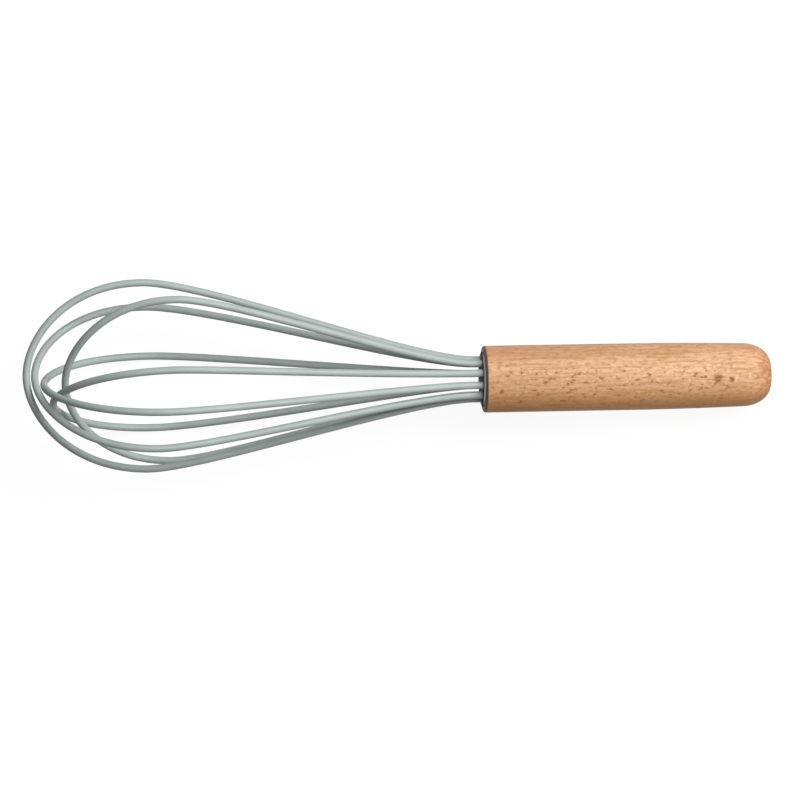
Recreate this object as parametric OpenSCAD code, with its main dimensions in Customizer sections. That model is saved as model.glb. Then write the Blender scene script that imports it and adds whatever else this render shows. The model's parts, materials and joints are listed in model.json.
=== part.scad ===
// Balloon whisk: five silicone-covered wire loops, a steel mouth cap and a turned beech handle.
// It is drawn lying at rest on a table, standing on two loops and the rounded butt of its handle.
// The handle points along +X, the loops along -X, and the origin is under the middle of the whole.
// Inside the modules the whisk's own axis is X, and x is zero at the front face of the handle.
// All sizes are in millimetres.

/* [Handle] */
// Length of the handle
handle_l = 101.5; // [90:0.5:130]
// Diameter of the grip
handle_d = 23.4; // [22.6:0.1:28]
// Length over which the handle narrows slowly towards the butt
butt_taper_l = 50; // [25:1:60]
// How much its radius has narrowed where the rounding of the butt starts
butt_taper = 0.6; // [0:0.1:1.2]
// How far the rounding of the butt eats in towards the axis
butt_round_r = 7.2; // [4:0.1:8.5]
// How far the rounding of the butt runs along the handle
butt_round_l = 10; // [6:0.5:14]
// Rounding of the handle's front edge
front_edge_r = 0.8; // [0.3:0.1:1.2]

/* [Mouth cap] */
// Outer diameter of the cap
cap_d = 19.2; // [18.8:0.1:20.2]
// Overall depth of the cap
cap_depth = 12; // [8:0.5:16]
// How far the cap stands out of the handle
cap_proud = 0.6; // [0.4:0.1:2]
// Thickness of the cap's face
cap_face_t = 0.8; // [0.5:0.1:1]
// Thickness of the cap's skirt
cap_skirt_t = 0.6; // [0.4:0.1:0.7]
// Rounding of the cap's rim
cap_rim_r = 0.6; // [0.3:0.1:0.9]

/* [Wires] */
// Diameter of a loop over its silicone
wire_d = 2.7; // [2.2:0.1:3]
// Diameter of the steel wire inside
core_d = 1.4; // [1:0.1:1.6]
// Radius of the circle on which the wires leave the cap
pitch_r = 6.8; // [6.4:0.1:6.9]
// Straight length of a wire in front of the handle before it flares out
stub_l = 3; // [2.5:0.1:6]
// How far a sleeve reaches in behind the cap's face
sleeve_tuck = 2; // [1:0.1:4]
// How far the bare wire runs into the handle
core_tail = 15; // [12:0.5:24]
// Resin left behind the ends of the wires
resin_floor = 2; // [1:0.5:4]

/* [Balloon] */
// Reach of the outermost loop from the handle's front face
balloon_reach = 160; // [130:1:190]
// Width of the loops between wire centres
balloon_w = 66; // [50:1:80]
// Space between the tips of two neighbouring loops that lie well apart
tip_gap = 0.6; // [0.6:0.1:1.2]
// The most that the tip of a loop has been bent to one side
loop_lean = 6; // [0:0.5:7]

/* [Fits] */
// Glue line round the cap and the resin
bond_gap = 0.05; // [0.03:0.01:0.1]
// Clearance round each wire in the cap's face
hole_gap = 0.08; // [0.05:0.01:0.12]
// Space between the steel wire and its silicone
core_gap = 0.04; // [0.02:0.01:0.06]

/* [Hidden] */
$fn = 64;

// Loops from the outermost in: widths, leans towards +Y, and spaces from each tip to the next.
loops = 5;
width_shares = [0.985, 0.93, 0.975, 0.97, 1.05];
lean_shares = [0.6, 0.49, 0.07, -0.92, 0.26];
tip_gap_shares = [0.4, 0.85, 0.75, 2.6];

// Form of half a loop: where it is widest, and how long its curve stays straight at each end.
widest_share = 0.74;
flare_start_share = 0.19;
flare_end_share = 0.18;
tip_side_share = 0.65;
tip_end_share = 0.42;

// Below 1, this share bends the loops aside nearer to the cap.
lean_early_share = 0.7;

// Corners round a wire, steps along half a loop, and how much finer the resting loops are followed.
wire_sides = 10;
flare_steps = 11;
tip_steps = 12;
arc_steps = 12;
rest_finer = 6;

// Extra length of a cut past the face that it opens.
overrun = 1;

handle_r = handle_d / 2;
cap_r = cap_d / 2;
cap_bore_r = cap_r - cap_skirt_t;
wire_r = wire_d / 2;
core_r = core_d / 2;
cap_face_x = -cap_proud;
cap_inside_x = cap_face_x + cap_face_t;
cap_seat_x = cap_face_x + cap_depth;
sleeve_end_x = cap_inside_x + sleeve_tuck;
core_end_x = core_tail;
resin_end_x = max(core_end_x, cap_seat_x) + resin_floor;
wires = 2 * loops;

// The middle line of each loop.

// Loops cross at the tip, so each next one is shorter by a wire and the space between two.
function loop_reach(k) =
  k == 0 ? balloon_reach : loop_reach(k - 1) - wire_d - tip_gap * tip_gap_shares[k - 1];
function loop_turn(k) = -k * 180 / loops;
function loop_half_w(k) = balloon_w / 2 * width_shares[k];

// A bent wire leaves the cap straight, leans aside along the balloon, and its tip stays level.
function lean_at(k, reach) =
  let (
    along = max(reach - stub_l, 0) / (loop_reach(k) - stub_l),
    t = pow(along, lean_early_share)
  )
  loop_lean * lean_shares[k] * t * t * (3 - 2 * t);

function bezier(p, t) =
  pow(1 - t, 3) * p[0] + 3 * pow(1 - t, 2) * t * p[1] + 3 * (1 - t) * t * t * p[2] + pow(t, 3) * p[3];

// Half a loop in its own plane, as [reach, distance from the axis], from the stub to the tip.
function half_loop(k, finer = 1) =
  let (
    flare_rings = flare_steps * finer,
    tip_rings = tip_steps * finer,
    reach = loop_reach(k),
    half_w = loop_half_w(k),
    widest = widest_share * reach,
    flare_l = widest - stub_l,
    tip_l = reach - widest,
    flare = [
      [stub_l, pitch_r],
      [stub_l + flare_start_share * flare_l, pitch_r],
      [widest - flare_end_share * flare_l, half_w],
      [widest, half_w]
    ],
    tip = [
      [widest, half_w],
      [widest + tip_side_share * tip_l, half_w],
      [reach, tip_end_share * half_w],
      [reach, 0]
    ]
  )
  concat(
    [for (i = [0:flare_rings]) bezier(flare, i / flare_rings)],
    [for (i = [1:tip_rings]) bezier(tip, i / tip_rings)]
  );

function loop_point(k, p) = [
  -p[0],
  p[1] * cos(loop_turn(k)) + lean_at(k, p[0]),
  p[1] * sin(loop_turn(k))
];

// The whole loop with both legs running into the handle as far as end_x.
function loop_path(k, end_x, finer = 1) =
  let (
    half = half_loop(k, finer),
    last = len(half) - 1,
    outline = concat(
      [[-end_x, pitch_r]],
      half,
      [for (i = [last - 1:-1:0]) [half[i][0], -half[i][1]]],
      [[-end_x, -pitch_r]]
    )
  )
  [for (p = outline) loop_point(k, p)];

function loop_normal(k) = [0, -sin(loop_turn(k)), cos(loop_turn(k))];

// How the whisk rests on the table.

butt_centre_x = handle_l - butt_round_l;
butt_centre_r = handle_r - butt_taper - butt_round_r;

// Reach of the butt's oval rounding below its own centre, at a tilt.
function butt_drop(tilt) = norm([butt_round_l * sin(tilt), butt_round_r * cos(tilt)]);

// The tilt at which a point of a loop and the butt touch the table together.
function touching_tilt(p, tilt, rounds) =
  rounds == 0 ? tilt :
  let (
    along = butt_centre_x - p[0],
    down = p[2] + butt_centre_r,
    next = asin((wire_r - butt_drop(tilt)) / norm([along, down])) - atan2(down, along)
  )
  touching_tilt(p, next, rounds - 1);

rest_tilt = max([
  for (k = [0:loops - 1])
    for (p = loop_path(k, 0, rest_finer))
      if (p[2] < -handle_r) touching_tilt(p, 6, 4)
]);

rest_lift = butt_centre_x * sin(rest_tilt) + butt_centre_r * cos(rest_tilt) + butt_drop(rest_tilt);
butt_end = butt_centre_x * cos(rest_tilt) + butt_centre_r * sin(rest_tilt)
  + norm([butt_round_l * cos(rest_tilt), butt_round_r * sin(rest_tilt)]);
tip_end = balloon_reach * cos(rest_tilt) + wire_r;
rest_shift_x = (tip_end - butt_end) / 2;
rest_shift_y = -lean_at(0, widest_share * balloon_reach);

module at_rest() {
  translate([rest_shift_x, rest_shift_y, rest_lift])
    rotate([0, rest_tilt, 0])
      children();
}

// Turns a shape drawn along Z so that it runs along X.
module along_x(x) {
  translate([x, 0, 0])
    rotate([0, 90, 0])
      children();
}

module rod_x(r, from_x, to_x) {
  along_x(from_x)
    cylinder(r = r, h = to_x - from_x);
}

module at_wires() {
  for (i = [0:wires - 1])
    rotate([i * 360 / wires, 0, 0])
      translate([0, pitch_r, 0])
        children();
}

// A quarter of an oval between two angles, as [distance from the axis, place along it].
function oval_arc(centre, r, l, from_angle, to_angle) = [
  for (i = [0:arc_steps])
    let (a = from_angle + (to_angle - from_angle) * i / arc_steps)
    centre + [r * cos(a), l * sin(a)]
];

// The handle's slow narrowing, which runs on into the butt's rounding without a corner.

taper_start_x = handle_l - butt_taper_l;
butt_start_angle = atan2(2 * butt_taper * butt_round_l, (butt_taper_l - butt_round_l) * butt_round_r);
taper_end = [
  butt_centre_r + butt_round_r * cos(butt_start_angle),
  butt_centre_x + butt_round_l * sin(butt_start_angle)
];

function butt_narrowing() = [
  for (i = [0:arc_steps - 1])
    let (t = i / arc_steps)
    [handle_r + (taper_end[0] - handle_r) * t * t, taper_start_x + (taper_end[1] - taper_start_x) * t]
];

// Wires swept along a path, square at both ends.

function unit(v) = v / norm(v);

function direction(path, i) =
  unit(path[min(i + 1, len(path) - 1)] - path[max(i - 1, 0)]);

// One ring of points, with its first corner facing out in the loop's own plane.
function ring(path, i, normal, r) =
  let (
    ahead = direction(path, i),
    side = unit(cross(ahead, normal)),
    up = cross(ahead, side)
  )
  [for (j = [0:wire_sides - 1])
    path[i] + r * (cos(360 * j / wire_sides) * side + sin(360 * j / wire_sides) * up)];

function ring_points(path, normal, r) =
  [for (i = [0:len(path) - 1]) each ring(path, i, normal, r)];

function corner(base, i, j) = base + i * wire_sides + j % wire_sides;

// Skin of a tube that starts at point number base: facing out, or facing in for a bore.
function skin(base, rings, inward) = [
  for (i = [0:rings - 2])
    for (j = [0:wire_sides - 1])
      let (
        a = corner(base, i, j),
        b = corner(base, i, j + 1),
        c = corner(base, i + 1, j + 1),
        d = corner(base, i + 1, j)
      )
      each (inward ? [[a, c, d], [a, b, c]] : [[a, d, c], [a, c, b]])
];

// Ring-shaped end between the outer skin and the bore.
function ring_end(outer, inner, flip) = [
  for (j = [0:wire_sides - 1])
    let (
      a = corner(outer, 0, j),
      b = corner(outer, 0, j + 1),
      c = corner(inner, 0, j + 1),
      d = corner(inner, 0, j)
    )
    each (flip ? [[a, c, b], [a, d, c]] : [[a, b, c], [a, c, d]])
];

module swept_tube(path, normal, outer_r, inner_r) {
  rings = len(path);
  bore = rings * wire_sides;
  last = (rings - 1) * wire_sides;
  polyhedron(
    points = concat(ring_points(path, normal, outer_r), ring_points(path, normal, inner_r)),
    faces = concat(
      skin(0, rings, false),
      skin(bore, rings, true),
      ring_end(0, bore, false),
      ring_end(last, bore + last, true)
    ),
    convexity = 10
  );
}

module swept_rod(path, normal, r) {
  rings = len(path);
  last = (rings - 1) * wire_sides;
  polyhedron(
    points = ring_points(path, normal, r),
    faces = concat(
      skin(0, rings, false),
      [[for (j = [0:wire_sides - 1]) j]],
      [[for (j = [wire_sides - 1:-1:0]) last + j]]
    ),
    convexity = 10
  );
}

// The pieces.

module handle() {
  color([0.82, 0.6, 0.42])
    at_rest()
      difference() {
        along_x(0)
          rotate_extrude()
            polygon(concat(
              [[0, 0]],
              oval_arc([handle_r - front_edge_r, front_edge_r], front_edge_r, front_edge_r, -90, 0),
              butt_narrowing(),
              oval_arc([butt_centre_r, butt_centre_x], butt_round_r, butt_round_l, butt_start_angle, 90),
              [[0, handle_l]]
            ));
        rod_x(cap_r + bond_gap, -overrun, cap_seat_x);
        rod_x(cap_bore_r, -overrun, resin_end_x);
      }
}

// A drawn cup, face outwards, that stands on the step in the handle's bore.
module mouth_cap() {
  color([0.5, 0.53, 0.56])
    at_rest()
      difference() {
        along_x(cap_face_x)
          rotate_extrude()
            polygon(concat(
              [[0, 0]],
              oval_arc([cap_r - cap_rim_r, cap_rim_r], cap_rim_r, cap_rim_r, -90, 0),
              [[cap_r, cap_depth], [cap_bore_r, cap_depth], [cap_bore_r, cap_face_t], [0, cap_face_t]]
            ));
        at_wires()
          rod_x(wire_r + hole_gap, cap_face_x - overrun, cap_inside_x + overrun);
      }
}

// Resin that fills the cap and the pocket behind it, moulded round the wire ends.
module resin_fill() {
  color([0.86, 0.8, 0.66])
    at_rest()
      difference() {
        rod_x(cap_bore_r - bond_gap, cap_inside_x, resin_end_x);
        at_wires() {
          rod_x(wire_r + hole_gap, cap_inside_x - overrun, sleeve_end_x);
          rod_x(core_r + core_gap, cap_inside_x, core_end_x);
        }
      }
}

module loop_core(k) {
  color([0.72, 0.74, 0.76])
    at_rest()
      swept_rod(loop_path(k, core_end_x), loop_normal(k), core_r);
}

module loop_sleeve(k) {
  color([0.62, 0.7, 0.66])
    at_rest()
      swept_tube(loop_path(k, sleeve_end_x), loop_normal(k), wire_r, core_r + core_gap);
}

handle();
mouth_cap();
resin_fill();
loop_core(0);  // loop_1_core
loop_core(1);  // loop_2_core
loop_core(2);  // loop_3_core
loop_core(3);  // loop_4_core
loop_core(4);  // loop_5_core
loop_sleeve(0);  // loop_1_sleeve
loop_sleeve(1);  // loop_2_sleeve
loop_sleeve(2);  // loop_3_sleeve
loop_sleeve(3);  // loop_4_sleeve
loop_sleeve(4);  // loop_5_sleeve
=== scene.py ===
"""A silicone balloon whisk with a beech handle, lying at rest, seen from above."""

import json
import math
from collections import namedtuple

import bmesh
import bpy
from mathutils import Matrix, Vector


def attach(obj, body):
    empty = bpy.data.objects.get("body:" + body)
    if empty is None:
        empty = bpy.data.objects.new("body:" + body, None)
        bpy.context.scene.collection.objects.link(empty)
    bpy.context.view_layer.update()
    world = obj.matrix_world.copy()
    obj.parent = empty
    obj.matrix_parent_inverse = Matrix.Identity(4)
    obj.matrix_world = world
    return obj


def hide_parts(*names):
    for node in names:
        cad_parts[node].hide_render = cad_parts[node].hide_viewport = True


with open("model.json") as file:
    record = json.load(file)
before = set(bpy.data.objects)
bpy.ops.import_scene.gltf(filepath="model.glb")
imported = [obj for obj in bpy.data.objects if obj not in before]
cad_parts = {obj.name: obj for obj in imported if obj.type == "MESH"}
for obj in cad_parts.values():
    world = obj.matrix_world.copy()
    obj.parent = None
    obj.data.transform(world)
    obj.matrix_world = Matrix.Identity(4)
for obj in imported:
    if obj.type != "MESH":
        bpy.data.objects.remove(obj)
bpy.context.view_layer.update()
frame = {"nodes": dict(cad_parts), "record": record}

MM = 0.001

# Sizes of the handle, which is a hair short so that it stays within the CAD model's box.
HANDLE_L = 101.49 * MM
HANDLE_R = 11.7 * MM
TAPER_L = 50 * MM
TAPER = 0.6 * MM
BUTT_ROUND_R = 7.2 * MM
BUTT_ROUND_L = 10 * MM
FRONT_EDGE_R = 0.8 * MM

# Sizes of the mouth cap, the holes drilled in it and the bore behind it.
CAP_R = 9.6 * MM
CAP_DEPTH = 12 * MM
CAP_PROUD = 0.6 * MM
CAP_FACE_T = 0.8 * MM
CAP_SKIRT_T = 0.6 * MM
CAP_RIM_R = 0.6 * MM
HOLE_R = 1.43 * MM
DRILL_L = 4 * CAP_FACE_T
BOND_GAP = 0.05 * MM
RESIN_END = 17 * MM

# Sizes of the loops, from the outermost in. A sleeve is about as thick as the mean of the CAD
# tube's ten sides, and the balloon is a hair narrower, so that both stay within the CAD model's
# box.
LOOPS = 5
SLEEVE_R = 1.3 * MM
BORE_R = 0.74 * MM
LOOP_PITCH = 2.7 * MM
PITCH_R = 6.8 * MM
STUB_L = 3 * MM
SLEEVE_END = 2.2 * MM
BALLOON_REACH = 160 * MM
BALLOON_W = 65.94 * MM
TIP_GAP = 0.6 * MM
LOOP_LEAN = 6 * MM
WIDTH_SHARES = (0.985, 0.93, 0.975, 0.97, 1.05)
LEAN_SHARES = (0.6, 0.49, 0.07, -0.92, 0.26)
TIP_GAP_SHARES = (0.4, 0.85, 0.75, 2.6)
WIDEST_SHARE = 0.74
FLARE_START_SHARE = 0.19
FLARE_END_SHARE = 0.18
TIP_SIDE_SHARE = 0.65
TIP_END_SHARE = 0.42
LEAN_EARLY_SHARE = 0.7

# How finely the pieces are made: steps and sides, the angle past which an edge is sharp, and the
# distance within which points are one.
TURN_STEPS = 128
ARC_STEPS = 12
SLEEVE_SIDES = 20
HOLE_SIDES = 40
FLARE_STEPS = 60
TIP_STEPS = 56
SHARP = math.radians(40)
MERGE = 0.001 * MM

# The beech's colours.
WOOD_PALE = (0.81, 0.48, 0.282, 1)
WOOD_RING = (0.69, 0.375, 0.2, 1)
# Painted shade: a saturated darker brown for the handle's -Y side, where less light falls.
WOOD_PAINTED_SHADE = (0.65, 0.28, 0.085, 1)
WOOD_STREAK = (0.5, 0.24, 0.1, 1)
WOOD_SPECK = (0.94, 0.66, 0.43, 1)
WOOD_FLECK = (0.29, 0.1, 0.026, 1)
WOOD_KNOT = (0.22, 0.075, 0.02, 1)
WOOD_BUTT = (0.43, 0.18, 0.065, 1)
# Partly end grain, partly painted shade: the dark brown of the handle's front face and rounded front
# edge.
WOOD_END_GRAIN_AND_SHADE = (0.13, 0.055, 0.025, 1)

# The beech's figure: how often each mark comes in a metre along the handle, across it and in depth.
RING_FIGURE = (7, 260, 60)
STREAK_FIGURE = (70, 1100, 1100)
MOTTLE_FIGURE = (330, 900, 900)
SPECK_FIGURE = (620, 1200, 1200)
RAY_FIGURE = (540, 800, 800)

# Ramps over that figure: two values of the noise, and how much of the mark shows at each.
RING_RAMP = (0.35, 0.65, 0.0, 1.0)
STREAK_RAMP = (0.45, 0.7, 0.0, 0.75)
MOTTLE_RAMP = (0.44, 0.68, 0.0, 0.6)
SPECK_RAMP = (0.52, 0.75, 0.0, 0.6)
RAY_RAMP = (0.55, 0.76, 0.0, 1.0)
PORE_RAMP = (0.36, 0.6, 0.35, 1.0)
KNOT_BREAK_RAMP = (0.3, 0.5, 0.5, 1.0)

# Ramps over the wood: two places along or across the handle, and how much shows at each. The band
# where the rays end on show runs along the top, and its middle lies a little way towards -Y.
FLECK_BAND_Y = 2.2 * MM
FLECK_BAND_R = 6 * MM
BAND_RAMP = (FLECK_BAND_R * 0.6, FLECK_BAND_R * 1.4, 0.9, 0.35)
# Painted shade: darkens the handle from its middle towards its -Y edge.
PAINTED_SHADE_RAMP = (-HANDLE_R * 0.8, 0.0, 0.6, 0.0)
WARMTH_RAMP = (HANDLE_L * 0.1, HANDLE_L * 0.8, 0.22, 0.0)
OFF_BUTT_RAMP = (HANDLE_L * 0.78, HANDLE_L * 0.9, 1.0, 0.35)
BUTT_RAMP = (HANDLE_L * 0.91, HANDLE_L, 0.0, 0.8)
# The front face and its rounded edge: darker end grain, deepened with painted shade.
FRONT_GRAIN_AND_SHADE_RAMP = (FRONT_EDGE_R * 0.5, FRONT_EDGE_R * 1.3, 0.95, 0.0)

# The pin knots, each as its place along and across the handle and its size, with how much of one
# is full and how much of its colour shows there.
PIN_KNOTS = ((81.5 * MM, -1.3 * MM, 2.1 * MM), (86.4 * MM, -1.6 * MM, 1.4 * MM))
KNOT_CORE = 0.3
KNOT_SHARE = 0.9

# The beech's surface: its polish, and how dull and how deep the flecks and streaks are in it.
WOOD_POLISH = (0.5, 0.6)
FLECK_DULLNESS = 0.1
FLECK_DEPTH = 0.35
STREAK_DEPTH = 0.4

# Ramps over the two noises of the marks of handling.
PATCH_RAMP = (0.35, 0.7)
FINE_RAMP = (0.3, 0.7)

# The table: its half width, its grey to scattered light and to the camera, and its own glow there.
TABLE_HALF_W = 3
TABLE_LIT = (0.18, 0.18, 0.18, 1)
TABLE_SEEN = (0.12, 0.12, 0.12, 1)
TABLE_GLOW = 0.92

# The photograph's view: a camera over the table, nearly straight down.
CAMERA_PLACE = Vector((-2.2, -11.5, 3000.0)) * MM
CAMERA_AIM = Vector((0.4, -10.0, 20.0)) * MM
CAMERA_ROLL = math.radians(-1.025)
LENS = 382.93
SENSOR = 36
CLIP_END = 10

# The softboxes: what they look at, how far off they stand, their size, and for each its azimuth
# off +X, its height over the table and its power in watts. The room's own light is a share of white.
BOX_AIM = Vector((0, 0, 30)) * MM
BOX_DISTANCE = 1.2
BOX_SIZE = (0.9, 0.7)
SOFTBOXES = {
    "Key": (math.radians(40), math.radians(51), 16.8),
    "Fill": (math.radians(-40), math.radians(36), 2.5),
}
ROOM_LIGHT = 0.1
WHITE = (1, 1, 1, 1)


# The whisk's own axis.

def whisk_place():
    """Matrix from the whisk's own axes, with x zero at the handle's front face, to the frame."""
    mounts = {m["name"]: m for m in frame["record"]["mounts"]}
    grip = mounts["grip"]
    ahead = Vector(grip["axis"]).normalized()
    grip_middle = (FRONT_EDGE_R + HANDLE_L - TAPER_L) / 2
    side = Vector((0, 1, 0))
    up = ahead.cross(side)
    origin = Vector(grip["pos_m"]) - ahead * grip_middle
    turn = Matrix((ahead, side, up)).transposed().to_4x4()
    return Matrix.Translation(origin) @ turn


WHISK = whisk_place()
WHISK_TILT = math.atan2(-WHISK[2][0], WHISK[0][0])
ALONG_X = Matrix.Rotation(math.pi / 2, 4, "Y")


# Shader nodes and groups.

def link_or_set(tree, socket, value):
    """Gives a socket another node's output, or a value of its own."""
    if isinstance(value, bpy.types.NodeSocket):
        tree.links.new(value, socket)
    else:
        socket.default_value = value


def noise(tree, vector, scale, detail, roughness=0.5):
    node = tree.nodes.new("ShaderNodeTexNoise")
    node.inputs["Detail"].default_value = detail
    node.inputs["Roughness"].default_value = roughness
    link_or_set(tree, node.inputs["Scale"], scale)
    tree.links.new(vector, node.inputs["Vector"])
    return node.outputs["Fac"]


def math_node(tree, operation, a, b=0.0):
    node = tree.nodes.new("ShaderNodeMath")
    node.operation = operation
    link_or_set(tree, node.inputs[0], a)
    link_or_set(tree, node.inputs[1], b)
    return node.outputs[0]


def ramp(tree, value, low, high, low_to=0.0, high_to=1.0):
    """A soft step from one value to another as the input goes from low to high."""
    node = tree.nodes.new("ShaderNodeMapRange")
    node.interpolation_type = "SMOOTHSTEP"
    tree.links.new(value, node.inputs["Value"])
    node.inputs["From Min"].default_value = low
    node.inputs["From Max"].default_value = high
    node.inputs["To Min"].default_value = low_to
    node.inputs["To Max"].default_value = high_to
    return node.outputs["Result"]


def mix_colour(tree, share, a, b):
    node = tree.nodes.new("ShaderNodeMix")
    node.data_type = "RGBA"
    link_or_set(tree, node.inputs[0], share)
    link_or_set(tree, node.inputs[6], a)
    link_or_set(tree, node.inputs[7], b)
    return node.outputs[2]


def bump(tree, height, strength, distance):
    node = tree.nodes.new("ShaderNodeBump")
    node.inputs["Strength"].default_value = strength
    node.inputs["Distance"].default_value = distance
    tree.links.new(height, node.inputs["Height"])
    return node.outputs["Normal"]


def mapped(tree, vector, place=(0, 0, 0), turn=(0, 0, 0), scale=(1, 1, 1), kind="POINT"):
    node = tree.nodes.new("ShaderNodeMapping")
    node.vector_type = kind
    node.inputs["Location"].default_value = place
    node.inputs["Rotation"].default_value = turn
    node.inputs["Scale"].default_value = scale
    tree.links.new(vector, node.inputs["Vector"])
    return node.outputs["Vector"]


def new_group(name, inputs, outputs):
    """A shader node group with named inputs (type, default) and outputs (type)."""
    group = bpy.data.node_groups.new(name, "ShaderNodeTree")
    for label, kind, value in inputs:
        socket = group.interface.new_socket(name=label, in_out="INPUT", socket_type=kind)
        socket.default_value = value
    for label, kind in outputs:
        group.interface.new_socket(name=label, in_out="OUTPUT", socket_type=kind)
    start = group.nodes.new("NodeGroupInput")
    end = group.nodes.new("NodeGroupOutput")
    return group, start, end


def handling_group():
    """Soft marks of handling: two masks that any finish can mix into its roughness or colour."""
    group, start, end = new_group(
        "Handling",
        [
            ("Vector", "NodeSocketVector", (0, 0, 0)),
            ("Patch Scale", "NodeSocketFloat", 60.0),
            ("Fine Scale", "NodeSocketFloat", 900.0),
        ],
        [("Patches", "NodeSocketFloat"), ("Fine", "NodeSocketFloat")],
    )
    patches = noise(group, start.outputs["Vector"], start.outputs["Patch Scale"], detail=3.0)
    fine = noise(group, start.outputs["Vector"], start.outputs["Fine Scale"], detail=4.0, roughness=0.6)
    group.links.new(ramp(group, patches, *PATCH_RAMP), end.inputs["Patches"])
    group.links.new(ramp(group, fine, *FINE_RAMP), end.inputs["Fine"])
    return group


HANDLING = handling_group()


def handling(tree, vector, patch_scale, fine_scale):
    """The handling group in a material's tree, as its two masks."""
    node = tree.nodes.new("ShaderNodeGroup")
    node.node_tree = HANDLING
    tree.links.new(vector, node.inputs["Vector"])
    node.inputs["Patch Scale"].default_value = patch_scale
    node.inputs["Fine Scale"].default_value = fine_scale
    return node.outputs["Patches"], node.outputs["Fine"]


# Materials.

def new_material(name):
    """A material with its node tree and its shader."""
    material = bpy.data.materials.new(name)
    material.use_nodes = True
    tree = material.node_tree
    return material, tree, tree.nodes["Principled BSDF"]


def object_place(tree):
    return tree.nodes.new("ShaderNodeTexCoord").outputs["Object"]


Finish = namedtuple("Finish", "material tree shader fine_marks")


def clouded_finish(name, dark, pale, roughness, patch_scale, fine_scale):
    """A finish that clouds from one tone to another, with fine marks in its roughness."""
    material, tree, shader = new_material(name)
    patches, fine = handling(tree, object_place(tree), patch_scale, fine_scale)
    tree.links.new(mix_colour(tree, patches, dark, pale), shader.inputs["Base Color"])
    tree.links.new(ramp(tree, fine, 0.0, 1.0, *roughness), shader.inputs["Roughness"])
    return Finish(material, tree, shader, fine)


def silicone():
    """Sage silicone: satin, a little cloudy, with a fine moulded skin."""
    finish = clouded_finish(
        "Sage_Silicone",
        dark=(0.39, 0.445, 0.43, 1),
        pale=(0.43, 0.487, 0.472, 1),
        roughness=(0.42, 0.54),
        patch_scale=70.0,
        fine_scale=1400.0,
    )
    skin = bump(finish.tree, finish.fine_marks, strength=0.12, distance=0.04 * MM)
    finish.tree.links.new(skin, finish.shader.inputs["Normal"])
    finish.shader.inputs["Specular IOR Level"].default_value = 0.36
    return finish.material


def cap_steel():
    """Polished steel painted a dark blue-grey, with a near-black edge tint that keeps it dark where it
    is seen edge-on: painted shade and a painted dark reflection, faintly marked by handling.
    """
    # Painted shade: a dark base colour stands in for the shade and dark reflections on the cap.
    finish = clouded_finish(
        "Cap_Steel_Painted_Dark",
        dark=(0.2, 0.21, 0.225, 1),
        pale=(0.25, 0.26, 0.275, 1),
        roughness=(0.24, 0.36),
        patch_scale=120.0,
        fine_scale=2400.0,
    )
    finish.shader.inputs["Metallic"].default_value = 1.0
    # Painted reflection: a near-black edge tint darkens the steel's grazing reflections.
    finish.shader.inputs["Specular Tint"].default_value = (0.025, 0.027, 0.03, 1)
    return finish.material


def wire_steel():
    """Bright drawn spring wire."""
    finish = clouded_finish(
        "Wire_Steel",
        dark=(0.52, 0.53, 0.55, 1),
        pale=(0.6, 0.61, 0.63, 1),
        roughness=(0.25, 0.4),
        patch_scale=150.0,
        fine_scale=3000.0,
    )
    finish.shader.inputs["Metallic"].default_value = 1.0
    return finish.material


def resin():
    """Cast resin: cloudy, cream, slightly glossy."""
    finish = clouded_finish(
        "Cast_Resin",
        dark=(0.6, 0.5, 0.33, 1),
        pale=(0.7, 0.6, 0.42, 1),
        roughness=(0.3, 0.45),
        patch_scale=200.0,
        fine_scale=900.0,
    )
    return finish.material


def with_pin_knots(tree, colour, grain_place, mottle):
    """The wood's colour with a dark, broken spot at each pin knot."""
    for knot_x, knot_y, knot_r in PIN_KNOTS:
        middle = mapped(tree, grain_place, place=(-knot_x, -knot_y, 0), scale=(1, 1, 0))
        reach = tree.nodes.new("ShaderNodeVectorMath")
        reach.operation = "LENGTH"
        tree.links.new(middle, reach.inputs[0])
        core = ramp(tree, reach.outputs["Value"], knot_r * KNOT_CORE, knot_r, KNOT_SHARE, 0.0)
        broken = math_node(tree, "MULTIPLY", core, ramp(tree, mottle, *KNOT_BREAK_RAMP))
        colour = mix_colour(tree, broken, colour, WOOD_KNOT)
    return colour


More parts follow.
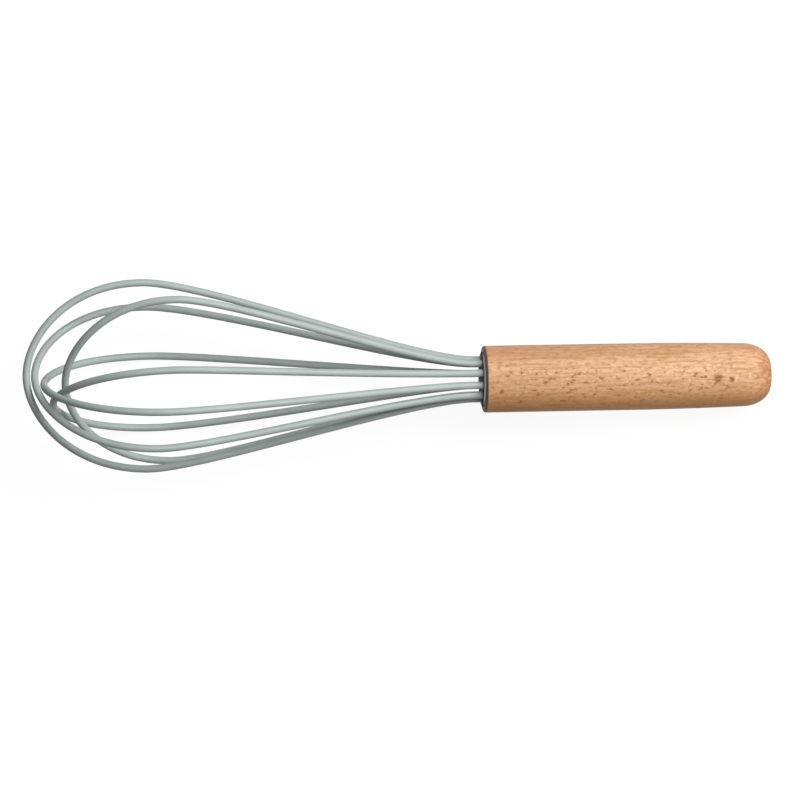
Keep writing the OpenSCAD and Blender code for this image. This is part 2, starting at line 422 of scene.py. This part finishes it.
def beech():
    """Oiled beech: grain along the handle, short brown ray flecks, pin knots, darker end grain, painted
    shade along its -Y side, and a front ring that is partly end grain and partly painted shade.
    """
    material, tree, shader = new_material("Oiled_Beech")
    place = object_place(tree)
    grain_place = mapped(tree, place, place=tuple(WHISK.translation), kind="TEXTURE",
                         turn=(0, WHISK_TILT, 0))
    axes = tree.nodes.new("ShaderNodeSeparateXYZ")
    tree.links.new(grain_place, axes.inputs[0])
    along = axes.outputs["X"]
    across = axes.outputs["Y"]

    def figure(scale, detail=1.0, roughness=0.5):
        """Noise with its own frequency along the handle, across it and in depth."""
        return noise(tree, mapped(tree, grain_place, scale=scale), 1.0, detail, roughness)

    rings = figure(RING_FIGURE, detail=2.0)
    streaks = figure(STREAK_FIGURE, detail=2.0, roughness=0.6)
    mottle = figure(MOTTLE_FIGURE, detail=2.0, roughness=0.6)
    pale_specks = figure(SPECK_FIGURE)
    ray_ends = figure(RAY_FIGURE)

    colour = mix_colour(tree, ramp(tree, rings, *RING_RAMP), WOOD_RING, WOOD_PALE)
    colour = mix_colour(tree, ramp(tree, streaks, *STREAK_RAMP), colour, WOOD_STREAK)
    colour = mix_colour(tree, ramp(tree, mottle, *MOTTLE_RAMP), colour, WOOD_STREAK)
    off_middle = math_node(tree, "ABSOLUTE", math_node(tree, "ADD", across, FLECK_BAND_Y))
    on_band = ramp(tree, off_middle, *BAND_RAMP)
    specks = math_node(tree, "MULTIPLY", ramp(tree, pale_specks, *SPECK_RAMP), on_band)
    colour = mix_colour(tree, specks, colour, WOOD_SPECK)
    # Painted shade: the handle's -Y side is darkened, as if turned from the light.
    colour = mix_colour(tree, ramp(tree, across, *PAINTED_SHADE_RAMP), colour, WOOD_PAINTED_SHADE)
    flecks = math_node(tree, "MULTIPLY", ramp(tree, ray_ends, *RAY_RAMP), on_band)
    flecks = math_node(tree, "MULTIPLY", flecks, ramp(tree, along, *OFF_BUTT_RAMP))
    colour = mix_colour(tree, flecks, colour, WOOD_FLECK)
    colour = with_pin_knots(tree, colour, grain_place, mottle)
    colour = mix_colour(tree, ramp(tree, along, *WARMTH_RAMP), colour, WOOD_STREAK)
    pores = ramp(tree, mottle, *PORE_RAMP)
    end_grain = math_node(tree, "MULTIPLY", ramp(tree, along, *BUTT_RAMP), pores)
    colour = mix_colour(tree, end_grain, colour, WOOD_BUTT)
    # The front ring: darker end grain, deepened with painted shade.
    colour = mix_colour(tree, ramp(tree, along, *FRONT_GRAIN_AND_SHADE_RAMP), colour, WOOD_END_GRAIN_AND_SHADE)
    tree.links.new(colour, shader.inputs["Base Color"])

    patches = handling(tree, place, patch_scale=50.0, fine_scale=1800.0)[0]
    polish = ramp(tree, patches, 0.0, 1.0, *WOOD_POLISH)
    dull = math_node(tree, "MULTIPLY", flecks, FLECK_DULLNESS)
    tree.links.new(math_node(tree, "ADD", polish, dull), shader.inputs["Roughness"])
    sunk_flecks = math_node(tree, "MULTIPLY", flecks, FLECK_DEPTH)
    sunk_streaks = math_node(tree, "MULTIPLY", streaks, STREAK_DEPTH)
    relief = math_node(tree, "SUBTRACT", pale_specks, sunk_flecks)
    relief = math_node(tree, "SUBTRACT", relief, sunk_streaks)
    grain = bump(tree, relief, strength=0.6, distance=0.15 * MM)
    tree.links.new(grain, shader.inputs["Normal"])
    shader.inputs["Specular IOR Level"].default_value = 0.2
    return material


def table_top():
    """A white table: grey to scattered light, white to camera, mirrors and glass, clear from below."""
    material, tree, shader = new_material("Table_Top")
    path = tree.nodes.new("ShaderNodeLightPath")
    seen = math_node(tree, "MAXIMUM", path.outputs["Is Camera Ray"], path.outputs["Is Glossy Ray"])
    seen = math_node(tree, "MAXIMUM", seen, path.outputs["Is Transmission Ray"])
    colour = mix_colour(tree, seen, TABLE_LIT, TABLE_SEEN)
    tree.links.new(colour, shader.inputs["Base Color"])
    glow = math_node(tree, "MULTIPLY", seen, TABLE_GLOW)
    tree.links.new(glow, shader.inputs["Emission Strength"])
    side = tree.nodes.new("ShaderNodeNewGeometry")
    from_above = math_node(tree, "SUBTRACT", 1.0, side.outputs["Backfacing"])
    tree.links.new(from_above, shader.inputs["Alpha"])
    shader.inputs["Emission Color"].default_value = WHITE
    shader.inputs["Roughness"].default_value = 0.9
    shader.inputs["Specular IOR Level"].default_value = 0.0
    return material


# Making the handle and the cap.

def finish_piece(name, mesh_maker, material, slot, *nodes):
    """Turns a bmesh in the whisk's own axes into a piece of the frame."""
    mesh = bpy.data.meshes.new(name)
    mesh_maker.transform(WHISK)
    mesh_maker.to_mesh(mesh)
    mesh_maker.free()
    mesh.materials.append(material)
    piece = bpy.data.objects.new(name, mesh)
    bpy.context.scene.collection.objects.link(piece)
    mesh.shade_smooth()
    mesh.set_sharp_from_angle(angle=SHARP)
    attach(piece, "root")
    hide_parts(*nodes)
    return piece


def oval_arc(centre, r, length, first, last):
    """Part of an oval between two angles, as (place along the axis, distance from it)."""
    angles = [first + (last - first) * i / ARC_STEPS for i in range(ARC_STEPS + 1)]
    return [(centre[0] + length * math.sin(a), centre[1] + r * math.cos(a)) for a in angles]


def butt_outline():
    """The handle's slow narrowing and the rounding that it runs into without a corner."""
    start = HANDLE_L - TAPER_L
    middle = (HANDLE_L - BUTT_ROUND_L, HANDLE_R - TAPER - BUTT_ROUND_R)
    angle = math.atan2(2 * TAPER * BUTT_ROUND_L, (TAPER_L - BUTT_ROUND_L) * BUTT_ROUND_R)
    rounding = oval_arc(middle, BUTT_ROUND_R, BUTT_ROUND_L, angle, math.pi / 2)
    end_x, end_r = rounding[0]
    shares = [i / ARC_STEPS for i in range(ARC_STEPS)]
    narrowing = [(start + (end_x - start) * t, HANDLE_R + (end_r - HANDLE_R) * t * t) for t in shares]
    return narrowing + rounding


def turned(outline):
    """A closed solid turned about x from its outline, which starts and ends on the axis."""
    maker = bmesh.new()
    verts = [maker.verts.new((x, r, 0)) for x, r in outline]
    edges = [maker.edges.new(pair) for pair in zip(verts, verts[1:])]
    bmesh.ops.spin(maker, geom=verts + edges, cent=(0, 0, 0), axis=(1, 0, 0), angle=math.tau,
                   steps=TURN_STEPS, use_merge=True)
    bmesh.ops.remove_doubles(maker, verts=maker.verts, dist=MERGE)
    bmesh.ops.recalc_face_normals(maker, faces=maker.faces)
    return maker


def make_handle(material):
    """The turned handle, with its stepped bore."""
    seat = CAP_DEPTH - CAP_PROUD
    bore = [(RESIN_END, 0), (RESIN_END, CAP_R - CAP_SKIRT_T), (seat, CAP_R - CAP_SKIRT_T)]
    bore += [(seat, CAP_R + BOND_GAP), (0, CAP_R + BOND_GAP)]
    front_middle = (FRONT_EDGE_R, HANDLE_R - FRONT_EDGE_R)
    front = oval_arc(front_middle, FRONT_EDGE_R, FRONT_EDGE_R, -math.pi / 2, 0)
    outline = bore + front + butt_outline() + [(HANDLE_L, 0)]
    finish_piece("Handle_Beech", turned(outline), material, "beech", "handle")


def make_cap(material):
    """The drawn cup at the mouth, with a hole for each wire."""
    face = -CAP_PROUD
    inside = face + CAP_FACE_T
    skirt_end = face + CAP_DEPTH
    rim_middle = (face + CAP_RIM_R, CAP_R - CAP_RIM_R)
    rim = oval_arc(rim_middle, CAP_RIM_R, CAP_RIM_R, -math.pi / 2, 0)
    outline = [(face, 0)] + rim + [(skirt_end, CAP_R), (skirt_end, CAP_R - CAP_SKIRT_T)]
    outline += [(inside, CAP_R - CAP_SKIRT_T), (inside, 0)]
    piece = finish_piece("Mouth_Cap", turned(outline), material, "cap_steel", "mouth_cap")
    drill = bmesh.new()
    for i in range(2 * LOOPS):
        turn = Matrix.Rotation(i * math.pi / LOOPS, 4, "X")
        place = turn @ Matrix.Translation((face, PITCH_R, 0)) @ ALONG_X
        bmesh.ops.create_cone(drill, cap_ends=True, segments=HOLE_SIDES, radius1=HOLE_R,
                              radius2=HOLE_R, depth=DRILL_L, matrix=place)
    cut_holes(piece, drill)


def cut_holes(piece, drill):
    """Takes the drill's shape out of the piece, for good, and clears the slivers that this leaves."""
    drill.transform(WHISK)
    mesh = bpy.data.meshes.new("Drill")
    drill.to_mesh(mesh)
    drill.free()
    tool = bpy.data.objects.new("Drill", mesh)
    bpy.context.scene.collection.objects.link(tool)
    cut = piece.modifiers.new("Holes", "BOOLEAN")
    cut.operation = "DIFFERENCE"
    cut.solver = "EXACT"
    cut.object = tool
    bpy.context.view_layer.update()
    done = piece.evaluated_get(bpy.context.evaluated_depsgraph_get())
    cut_mesh = bpy.data.meshes.new_from_object(done)
    piece.modifiers.clear()
    piece.data = cut_mesh
    maker = bmesh.new()
    maker.from_mesh(cut_mesh)
    bmesh.ops.remove_doubles(maker, verts=maker.verts, dist=MERGE)
    bmesh.ops.dissolve_degenerate(maker, edges=maker.edges, dist=MERGE)
    maker.to_mesh(cut_mesh)
    maker.free()
    cut_mesh.set_sharp_from_angle(angle=SHARP)
    bpy.data.objects.remove(tool)


# Making the loops.

def loop_reach(k):
    """How far a loop reaches from the handle's front face."""
    return BALLOON_REACH - LOOP_PITCH * k - TIP_GAP * sum(TIP_GAP_SHARES[:k])


def loop_turn(k):
    """The angle of a loop's plane round the whisk's axis."""
    return -k * math.pi / LOOPS


def bezier(a, b, c, d, t):
    s = 1 - t
    return a * s ** 3 + b * 3 * s * s * t + c * 3 * s * t * t + d * t ** 3


def half_loop(k):
    """Half a loop in its own plane, as (reach, distance from the axis)."""
    reach = loop_reach(k)
    half_w = BALLOON_W / 2 * WIDTH_SHARES[k]
    widest = WIDEST_SHARE * reach
    flare_l = widest - STUB_L
    tip_l = reach - widest
    flare = (
        Vector((STUB_L, PITCH_R)),
        Vector((STUB_L + FLARE_START_SHARE * flare_l, PITCH_R)),
        Vector((widest - FLARE_END_SHARE * flare_l, half_w)),
        Vector((widest, half_w)),
    )
    tip = (
        Vector((widest, half_w)),
        Vector((widest + TIP_SIDE_SHARE * tip_l, half_w)),
        Vector((reach, TIP_END_SHARE * half_w)),
        Vector((reach, 0)),
    )
    points = [bezier(*flare, i / FLARE_STEPS) for i in range(FLARE_STEPS + 1)]
    return points + [bezier(*tip, i / TIP_STEPS) for i in range(1, TIP_STEPS + 1)]


def loop_path(k):
    """The loop's middle line, with both legs running in behind the mouth to the sleeve's ends."""
    half = half_loop(k)
    back = [Vector((p.x, -p.y)) for p in reversed(half[:-1])]
    outline = [Vector((-SLEEVE_END, PITCH_R))] + half + back + [Vector((-SLEEVE_END, -PITCH_R))]
    turn = loop_turn(k)
    path = []
    for p in outline:
        t = (max(p.x - STUB_L, 0) / (loop_reach(k) - STUB_L)) ** LEAN_EARLY_SHARE
        lean = LOOP_LEAN * LEAN_SHARES[k] * t * t * (3 - 2 * t)
        path.append(Vector((-p.x, p.y * math.cos(turn) + lean, p.y * math.sin(turn))))
    return path


def path_frames(k, path):
    """A matrix at each point of the path: its z runs along the wire, its x stays in the loop's plane."""
    turn = loop_turn(k)
    normal = Vector((0, -math.sin(turn), math.cos(turn)))
    frames = []
    for i, point in enumerate(path):
        ahead = (path[min(i + 1, len(path) - 1)] - path[max(i - 1, 0)]).normalized()
        side = ahead.cross(normal).normalized()
        up = ahead.cross(side)
        frames.append(Matrix.Translation(point) @ Matrix((side, up, ahead)).transposed().to_4x4())
    return frames


def make_sleeve(k, material):
    """One silicone tube, drawn along its loop from a ring."""
    frames = path_frames(k, loop_path(k))
    maker = bmesh.new()
    bmesh.ops.create_circle(maker, segments=SLEEVE_SIDES, radius=SLEEVE_R)
    bmesh.ops.create_circle(maker, segments=SLEEVE_SIDES, radius=BORE_R)
    bmesh.ops.bridge_loops(maker, edges=maker.edges[:])
    bmesh.ops.transform(maker, matrix=frames[0], verts=maker.verts)
    # With its edges, the ring's faces move on, and none are left inside the tube.
    ring = maker.edges[:] + maker.faces[:]
    for here, there in zip(frames, frames[1:]):
        grown = bmesh.ops.extrude_face_region(maker, geom=ring)["geom"]
        verts = [g for g in grown if isinstance(g, bmesh.types.BMVert)]
        ring = [g for g in grown if not isinstance(g, bmesh.types.BMVert)]
        bmesh.ops.transform(maker, matrix=there @ here.inverted(), verts=verts)
    bmesh.ops.recalc_face_normals(maker, faces=maker.faces)
    name = "loop_%d_sleeve" % (k + 1)
    finish_piece("Loop_%d_Sleeve" % (k + 1), maker, material, "sage_silicone", name)


# Table, light and camera.

def make_table(material):
    mesh = bpy.data.meshes.new("Table")
    maker = bmesh.new()
    bmesh.ops.create_grid(maker, x_segments=1, y_segments=1, size=TABLE_HALF_W)
    maker.to_mesh(mesh)
    maker.free()
    mesh.materials.append(material)
    table = bpy.data.objects.new("Table", mesh)
    bpy.context.scene.collection.objects.link(table)


def aim(thing, place, target, roll=0.0):
    """Puts a lamp or camera at a place, looking at a target, with the top of its picture along +Y."""
    back = (place - target).normalized()
    right = Vector((0, 1, 0)).cross(back).normalized()
    up = back.cross(right)
    turn = Matrix((right, up, back)).transposed().to_4x4()
    thing.matrix_world = Matrix.Translation(place) @ turn @ Matrix.Rotation(roll, 4, "Z")


def add_softbox(name, azimuth, height, power):
    """A softbox that looks at the whisk from its place in the room."""
    lamp = bpy.data.lights.new(name, "AREA")
    lamp.shape = "RECTANGLE"
    lamp.size, lamp.size_y = BOX_SIZE
    lamp.energy = power
    box = bpy.data.objects.new(name, lamp)
    bpy.context.scene.collection.objects.link(box)
    level = math.cos(height)
    way = Vector((level * math.cos(azimuth), level * math.sin(azimuth), math.sin(height)))
    aim(box, BOX_AIM + way * BOX_DISTANCE, BOX_AIM)


def light_room():
    """A white room to camera, mirrors and glass, a dim one to scattered light, and the softboxes."""
    world = bpy.data.worlds.new("Studio")
    bpy.context.scene.world = world
    world.use_nodes = True
    tree = world.node_tree
    backdrop = tree.nodes["Background"]
    path = tree.nodes.new("ShaderNodeLightPath")
    seen = math_node(tree, "MAXIMUM", path.outputs["Is Camera Ray"], path.outputs["Is Glossy Ray"])
    seen = math_node(tree, "MAXIMUM", seen, path.outputs["Is Transmission Ray"])
    tree.links.new(math_node(tree, "MAXIMUM", seen, ROOM_LIGHT), backdrop.inputs["Strength"])
    backdrop.inputs["Color"].default_value = WHITE
    for name, (azimuth, height, power) in SOFTBOXES.items():
        add_softbox(name, azimuth, height, power)


def add_camera():
    lens = bpy.data.cameras.new("Camera")
    lens.lens = LENS
    lens.sensor_width = SENSOR
    lens.clip_end = CLIP_END
    camera = bpy.data.objects.new("Camera", lens)
    bpy.context.scene.collection.objects.link(camera)
    aim(camera, CAMERA_PLACE, CAMERA_AIM, CAMERA_ROLL)
    bpy.context.scene.camera = camera


# The whole scene.

def dress_nodes(material, names):
    """Gives CAD nodes that stay as they are a better material."""
    for name in names:
        for slot in frame["nodes"][name].material_slots:
            slot.material = material


def build():
    make_handle(beech())
    make_cap(cap_steel())
    rubber = silicone()
    for k in range(LOOPS):
        make_sleeve(k, rubber)
    dress_nodes(wire_steel(), ["loop_%d_core" % (k + 1) for k in range(LOOPS)])
    dress_nodes(resin(), ["resin_fill"])
    make_table(table_top())
    light_room()
    add_camera()
    bpy.context.scene.view_settings.view_transform = "Standard"


build()
